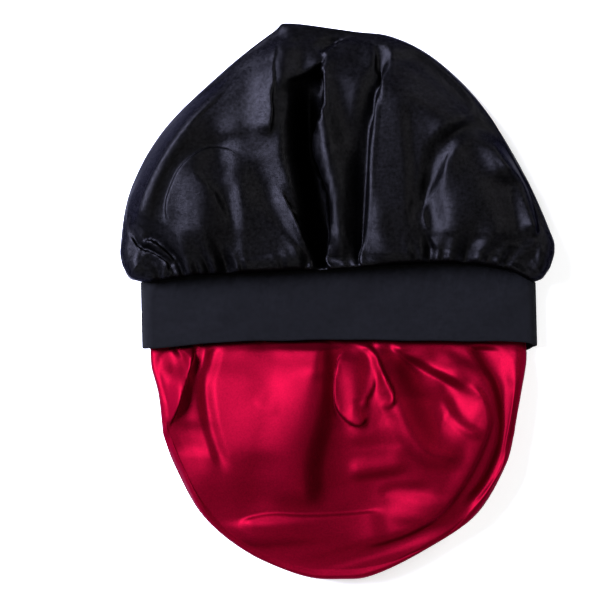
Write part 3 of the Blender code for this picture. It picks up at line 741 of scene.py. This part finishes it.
BLACK_SATIN = SatinLook(colour=(0.0078, 0.0076, 0.0083), edge_colour=(0.40, 0.40, 0.43), metallic=1.0,
                        roughness=0.42, specular=0.9, pitch=0.00028, grain_scale=430.0, glint=2.1,
                        rough_change=0.12, change=0.35, bump_height=0.00010, bump=0.6,
                        crease_height=0.0004)
RED_SATIN = SatinLook(colour=(0.132, 0.0010, 0.0082), edge_colour=(0.45, 0.45, 0.52), metallic=1.0,
                      roughness=0.58, specular=0.6, pitch=0.00028, grain_scale=820.0, glint=0.80,
                      rough_change=0.08, change=0.16, bump_height=0.00006, bump=0.5,
                      crease_height=0.0002)
CHARCOAL_JERSEY = JerseyLook(colour=(0.0041, 0.0042, 0.0048), roughness=0.92, specular=0.06,
                             wale=0.0009, course=0.0007, change=0.5, bump_height=0.00022, bump=0.8)
# each noise: cycles a metre, detail, roughness
SLUBS = (2400.0, 1.0, 0.5)
FUZZ = (2600.0, 3.0, 0.7)
PILLING = (330.0, 2.0, 0.5)
CLOUDS = (22.0, 2.0, 0.5)
MOTTLES = (120.0, 2.0, 0.5)
CREASES = (60.0, 2.0, 0.4)
GRAIN = (3.0, 0.65)           # detail and roughness; each satin has its own scale
NOISE_MEAN = 0.5
SLUB_STRETCH = (0.12, 1.0, 1.0)    # slubs run across the cloth
THREAD_HEIGHT = 0.25          # heights against that of the slubs
GRAIN_HEIGHT = 1.6
STITCH_LEAN = 1.1             # how far a stitch's leg climbs over its width, in courses a wale
STITCH_HEIGHT = 1.2           # heights against that of the ribs
FUZZ_HEIGHT = 0.6
PILLING_SHADE = 0.7
# painted shade: the knit's colour is made darker where its stitches lie lower
STITCH_PAINTED_SHADE = 0.16
BASE_SHADE = 0.43
MOTTLE_SHARE = 0.5            # of the mottles against the clouds


# ---------------------------------------------------------------- nodes
def fill(tree, made, values):
    """Set the named or numbered inputs of a node, or link them to other sockets."""
    for name, value in values.items():
        if isinstance(value, bpy.types.NodeSocket):
            tree.links.new(value, made.inputs[name])
        else:
            made.inputs[name].default_value = value


def maths(tree, operation, *values):
    """One math node fed by sockets or numbers; gives its output."""
    made = tree.nodes.new("ShaderNodeMath")
    made.operation = operation
    fill(tree, made, dict(enumerate(values)))
    return made.outputs[0]


def stretched(tree, vector, scale):
    """A vector multiplied along its three axes."""
    made = tree.nodes.new("ShaderNodeVectorMath")
    made.operation = "MULTIPLY"
    fill(tree, made, {0: vector, 1: scale})
    return made.outputs[0]


def tinted(tree, colour, shade):
    """A colour multiplied by a shade that changes over the surface."""
    made = tree.nodes.new("ShaderNodeVectorMath")
    made.operation = "SCALE"
    fill(tree, made, {0: colour, "Scale": shade})
    return made.outputs[0]


def noise(tree, vector, scale, detail, roughness):
    """Soft noise, 0 to 1, at a scale in cycles a metre."""
    made = tree.nodes.new("ShaderNodeTexNoise")
    fill(tree, made, {"Vector": vector, "Scale": scale, "Detail": detail, "Roughness": roughness})
    return made.outputs["Fac"]


def bumped(tree, height, distance, strength, under=None):
    """A bump node over a height, in metres; gives its normal."""
    made = tree.nodes.new("ShaderNodeBump")
    fill(tree, made, {"Height": height, "Distance": distance, "Strength": strength})
    if under is not None:
        tree.links.new(under, made.inputs["Normal"])
    return made.outputs["Normal"]


def effect_group(name, inputs, outputs):
    """A new node group, the sockets that bring its inputs and those that take its outputs."""
    group = bpy.data.node_groups.new(name, "ShaderNodeTree")
    for socket, kind in inputs.items():
        group.interface.new_socket(name=socket, in_out="INPUT", socket_type="NodeSocket" + kind)
    for socket in outputs:
        group.interface.new_socket(name=socket, in_out="OUTPUT", socket_type="NodeSocketFloat")
    return group, group.nodes.new("NodeGroupInput").outputs, group.nodes.new("NodeGroupOutput").inputs


def effect(tree, group, values):
    """A node group used in a material with its inputs set or linked; gives its outputs."""
    made = tree.nodes.new("ShaderNodeGroup")
    made.node_tree = group
    fill(tree, made, values)
    return made.outputs


def axes(tree, vector):
    """A vector's three components."""
    made = tree.nodes.new("ShaderNodeSeparateXYZ")
    tree.links.new(vector, made.inputs[0])
    return made.outputs


# ---------------------------------------------------------------- finishes
def satin_weave_group():
    """Long satin floats with slubs, and the fine glint grain they give: height and glint."""
    group, given, result = effect_group(
        "satin weave",
        {"Cloth Lie": "Vector", "Place": "Vector", "Float Pitch": "Float", "Grain Scale": "Float"},
        ("Height", "Glint"))
    row = maths(group, "DIVIDE", axes(group, given["Cloth Lie"])["Y"], given["Float Pitch"])
    thread = maths(group, "SINE", maths(group, "MULTIPLY", row, 2 * math.pi))
    slub = noise(group, stretched(group, given["Cloth Lie"], SLUB_STRETCH), *SLUBS)
    grain = noise(group, given["Place"], given["Grain Scale"], *GRAIN)
    threads = maths(group, "MULTIPLY_ADD", thread, THREAD_HEIGHT, slub)
    height = maths(group, "MULTIPLY_ADD", grain, GRAIN_HEIGHT, threads)
    group.links.new(height, result["Height"])
    group.links.new(grain, result["Glint"])
    return group


def jersey_knit_group():
    """Rows of small V stitches, and the fuzz over them: height, and a shade of random pilling and painted
    shade that darkens the knit's hollows.
    """
    group, given, result = effect_group(
        "jersey knit",
        {"Cloth Lie": "Vector", "Place": "Vector", "Wale": "Float", "Course": "Float"},
        ("Height", "Shade"))
    lie = axes(group, given["Cloth Lie"])
    wale = maths(group, "PINGPONG", maths(group, "DIVIDE", lie["X"], given["Wale"]), 0.5)
    course = maths(group, "DIVIDE", lie["Y"], given["Course"])
    stitch = maths(group, "PINGPONG", maths(group, "MULTIPLY_ADD", wale, STITCH_LEAN, course), 0.5)
    rib = maths(group, "SINE", maths(group, "MULTIPLY", wale, 2 * math.pi))
    fuzz = noise(group, given["Place"], *FUZZ)
    knit = maths(group, "MULTIPLY_ADD", stitch, STITCH_HEIGHT, rib)
    height = maths(group, "MULTIPLY_ADD", fuzz, FUZZ_HEIGHT, knit)
    group.links.new(height, result["Height"])
    # painted shade: the colour is darker where the knit lies lower, in its hollows
    stitch_painted_shade = maths(group, "MULTIPLY_ADD", height, STITCH_PAINTED_SHADE, BASE_SHADE)
    pilling = noise(group, given["Place"], *PILLING)
    group.links.new(maths(group, "MULTIPLY_ADD", pilling, PILLING_SHADE, stitch_painted_shade), result["Shade"])
    return group


def cloth_change_group():
    """Slow change over a cloth: cloudy lightening, around 1, and small handling creases."""
    group, given, result = effect_group("cloth change", {"Place": "Vector", "Amount": "Float"},
                                        ("Shade", "Crease"))
    clouds = noise(group, given["Place"], *CLOUDS)
    mottles = noise(group, given["Place"], *MOTTLES)
    both = maths(group, "MULTIPLY_ADD", mottles, MOTTLE_SHARE, clouds)
    centred = maths(group, "SUBTRACT", both, NOISE_MEAN * (1 + MOTTLE_SHARE))
    group.links.new(maths(group, "MULTIPLY_ADD", centred, given["Amount"], 1.0), result["Shade"])
    group.links.new(noise(group, given["Place"], *CREASES), result["Crease"])
    return group


def cloth_material(name):
    """A new cloth material with its shader, the object's place and the cloth's own lie."""
    finish = bpy.data.materials.new(name)
    finish.use_nodes = True
    tree = finish.node_tree
    place = tree.nodes.new("ShaderNodeTexCoord").outputs["Object"]
    lie = tree.nodes.new("ShaderNodeUVMap")
    lie.uv_map = CLOTH_LIE
    return finish, tree, tree.nodes["Principled BSDF"], place, lie.outputs["UV"]


def satin(name, look, groups):
    """Satin: a tight weave whose floats throw back soft coloured light."""
    finish, tree, shader, place, lie = cloth_material(name)
    weave = effect(tree, groups["weave"], {"Cloth Lie": lie, "Place": place, "Float Pitch": look.pitch,
                                           "Grain Scale": look.grain_scale})
    change = effect(tree, groups["change"], {"Place": place, "Amount": look.change})
    glint = maths(tree, "MULTIPLY_ADD", weave["Glint"], look.glint, 1 - NOISE_MEAN * look.glint)
    shade = maths(tree, "MULTIPLY", change["Shade"], glint)
    rough = maths(tree, "MULTIPLY_ADD", weave["Glint"], look.rough_change,
                  look.roughness - NOISE_MEAN * look.rough_change)
    creased = bumped(tree, change["Crease"], look.crease_height, 1.0)
    fill(tree, shader, {
        "Base Color": tinted(tree, look.colour, shade), "Roughness": rough, "Metallic": look.metallic,
        "Specular Tint": (*look.edge_colour, 1.0), "Specular IOR Level": look.specular,
        "Normal": bumped(tree, weave["Height"], look.bump_height, look.bump, creased)})
    return finish


def jersey(name, look, groups):
    """Matt knitted jersey."""
    finish, tree, shader, place, lie = cloth_material(name)
    knit = effect(tree, groups["knit"], {"Cloth Lie": lie, "Place": place, "Wale": look.wale,
                                         "Course": look.course})
    change = effect(tree, groups["change"], {"Place": place, "Amount": look.change})
    # the knit's shade brings painted shade in its hollows into the jersey's colour
    shade = maths(tree, "MULTIPLY", change["Shade"], knit["Shade"])
    fill(tree, shader, {
        "Base Color": tinted(tree, look.colour, shade), "Roughness": look.roughness,
        "Specular IOR Level": look.specular,
        "Normal": bumped(tree, knit["Height"], look.bump_height, look.bump)})
    return finish


# ---------------------------------------------------------------- floor, light and camera
class Light(NamedTuple):
    """One soft panel of light."""

    name: str
    place: tuple              # m
    width: float              # m
    power: float              # W
    colour: tuple


LIGHTS = [
    Light("window", (-1.32, 0.66, 1.15), 1.0, 155.0, (0.97, 1.0, 1.38)),
    Light("right panel", (1.35, 0.9, 0.95), 0.7, 14.0, (1.0, 1.0, 1.0)),
    Light("front panel", (0.3, -1.7, 1.5), 1.2, 12.0, (1.0, 1.0, 1.0)),
]
SURROUND = 0.16               # strength of the white light from all sides
CAMERA_PLACE = (-0.0256, 0.0004)    # middle of the picture, m
CAMERA_LENS = 110.0           # mm
CAMERA_SENSOR = 36.0          # mm
PICTURE_WIDTH = 0.4065        # of what the picture shows, m
PICTURE_LEVEL = 0.02          # above the floor, where it is that wide, m
FLOOR_HALF = 3.0              # m
FLOOR_LEVEL = -0.3            # mm
FLOOR_COLOUR = (0.92, 0.92, 0.92, 1.0)
FLOOR_ROUGHNESS = 0.9
FLOOR_GLOW = 0.5              # its own light, which thins the shadows
WHITE = (1.0, 1.0, 1.0, 1.0)


def aimed(name, data, place, target):
    """A light or camera placed and turned towards a point."""
    made = bpy.data.objects.new(name, data)
    made.location = place
    made.rotation_mode = "QUATERNION"
    made.rotation_quaternion = (Vector(target) - Vector(place)).to_track_quat("-Z", "Y")
    bpy.context.scene.collection.objects.link(made)
    return made


def studio():
    """Pale floor, soft panels of light and the camera straight above."""
    half = FLOOR_HALF / MM
    corners = [(x, y, FLOOR_LEVEL) for x, y in ((-half, -half), (half, -half), (half, half), (-half, half))]
    floor = mesh_piece("floor", corners, [(0, 1, 2, 3)])
    paint = bpy.data.materials.new("pale floor")
    paint.use_nodes = True
    fill(paint.node_tree, paint.node_tree.nodes["Principled BSDF"], {
        "Base Color": FLOOR_COLOUR, "Roughness": FLOOR_ROUGHNESS, "Emission Color": WHITE,
        "Emission Strength": FLOOR_GLOW})
    floor.data.materials.append(paint)
    for light in LIGHTS:
        lamp = bpy.data.lights.new(light.name, "AREA")
        lamp.size = light.width
        lamp.energy = light.power
        lamp.color = light.colour
        aimed(light.name, lamp, light.place, (0, 0, 0))
    world = bpy.data.worlds.new("surround")
    world.use_nodes = True
    fill(world.node_tree, world.node_tree.nodes["Background"], {"Color": WHITE, "Strength": SURROUND})
    bpy.context.scene.world = world
    view = bpy.data.cameras.new("camera")
    view.lens = CAMERA_LENS
    view.sensor_width = CAMERA_SENSOR
    height = PICTURE_WIDTH * CAMERA_LENS / CAMERA_SENSOR + PICTURE_LEVEL
    above = (*CAMERA_PLACE, height)
    bpy.context.scene.camera = aimed("camera", view, above, (*CAMERA_PLACE, 0))
    bpy.context.scene.view_settings.view_transform = "Standard"


# ---------------------------------------------------------------- the bonnet
def dress():
    """Every piece of the bonnet with its finish, declared to the frame."""
    groups = {"weave": satin_weave_group(), "knit": jersey_knit_group(), "change": cloth_change_group()}
    crown_bag = Bag(edges=[spline(edge) for edge in (SEAM, CROWN_FAR, CROWN_LEFT, CROWN_RIGHT)],
                    sewn=spline(SEAM), neck_share=0.0, profile=CROWN_PROFILE, folds=CROWN_FOLDS,
                    mounds=CROWN_MOUNDS, pleats=CROWN_PLEATS, floor_lift=CROWN_FLOOR_LIFT,
                    rim_lift=CROWN_RIM_LIFT, rim_radius=CROWN_RIM_RADIUS, bulge=CROWN_BULGE,
                    tuck=CROWN_TUCK, size=CROWN_GRID, mirrored=False)
    lining_bag = Bag(edges=[spline(edge) for edge in (LINING_MOUTH, LINING_FAR, LINING_LEFT, LINING_RIGHT)],
                     sewn=spline(LINING_SEWN), neck_share=LINING_NECK_SHARE, profile=LINING_PROFILE,
                     folds=LINING_FOLDS, mounds=LINING_MOUNDS, pleats=LINING_PLEATS,
                     floor_lift=BAND_WALL + NECK_GAP, rim_lift=LINING_RIM_LIFT,
                     rim_radius=LINING_RIM_RADIUS, bulge=0.0, tuck=[], size=LINING_GRID, mirrored=True)
    crown = bag_piece("crown_cloth", crown_bag)
    crown.data.materials.append(satin("black satin weave", BLACK_SATIN, groups))
    lining = bag_piece("lining_cloth", lining_bag)
    lining.data.materials.append(satin("wine red satin weave", RED_SATIN, groups))
    band = band_piece("band_jersey")
    band.data.materials.append(jersey("charcoal jersey knit", CHARCOAL_JERSEY, groups))
    for piece, name, slot in ((crown, "crown", "black satin"), (band, "band", "charcoal jersey"),
                              (lining, "lining", "wine red satin")):
        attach(piece, "root")
        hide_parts(name)


studio()
dress()
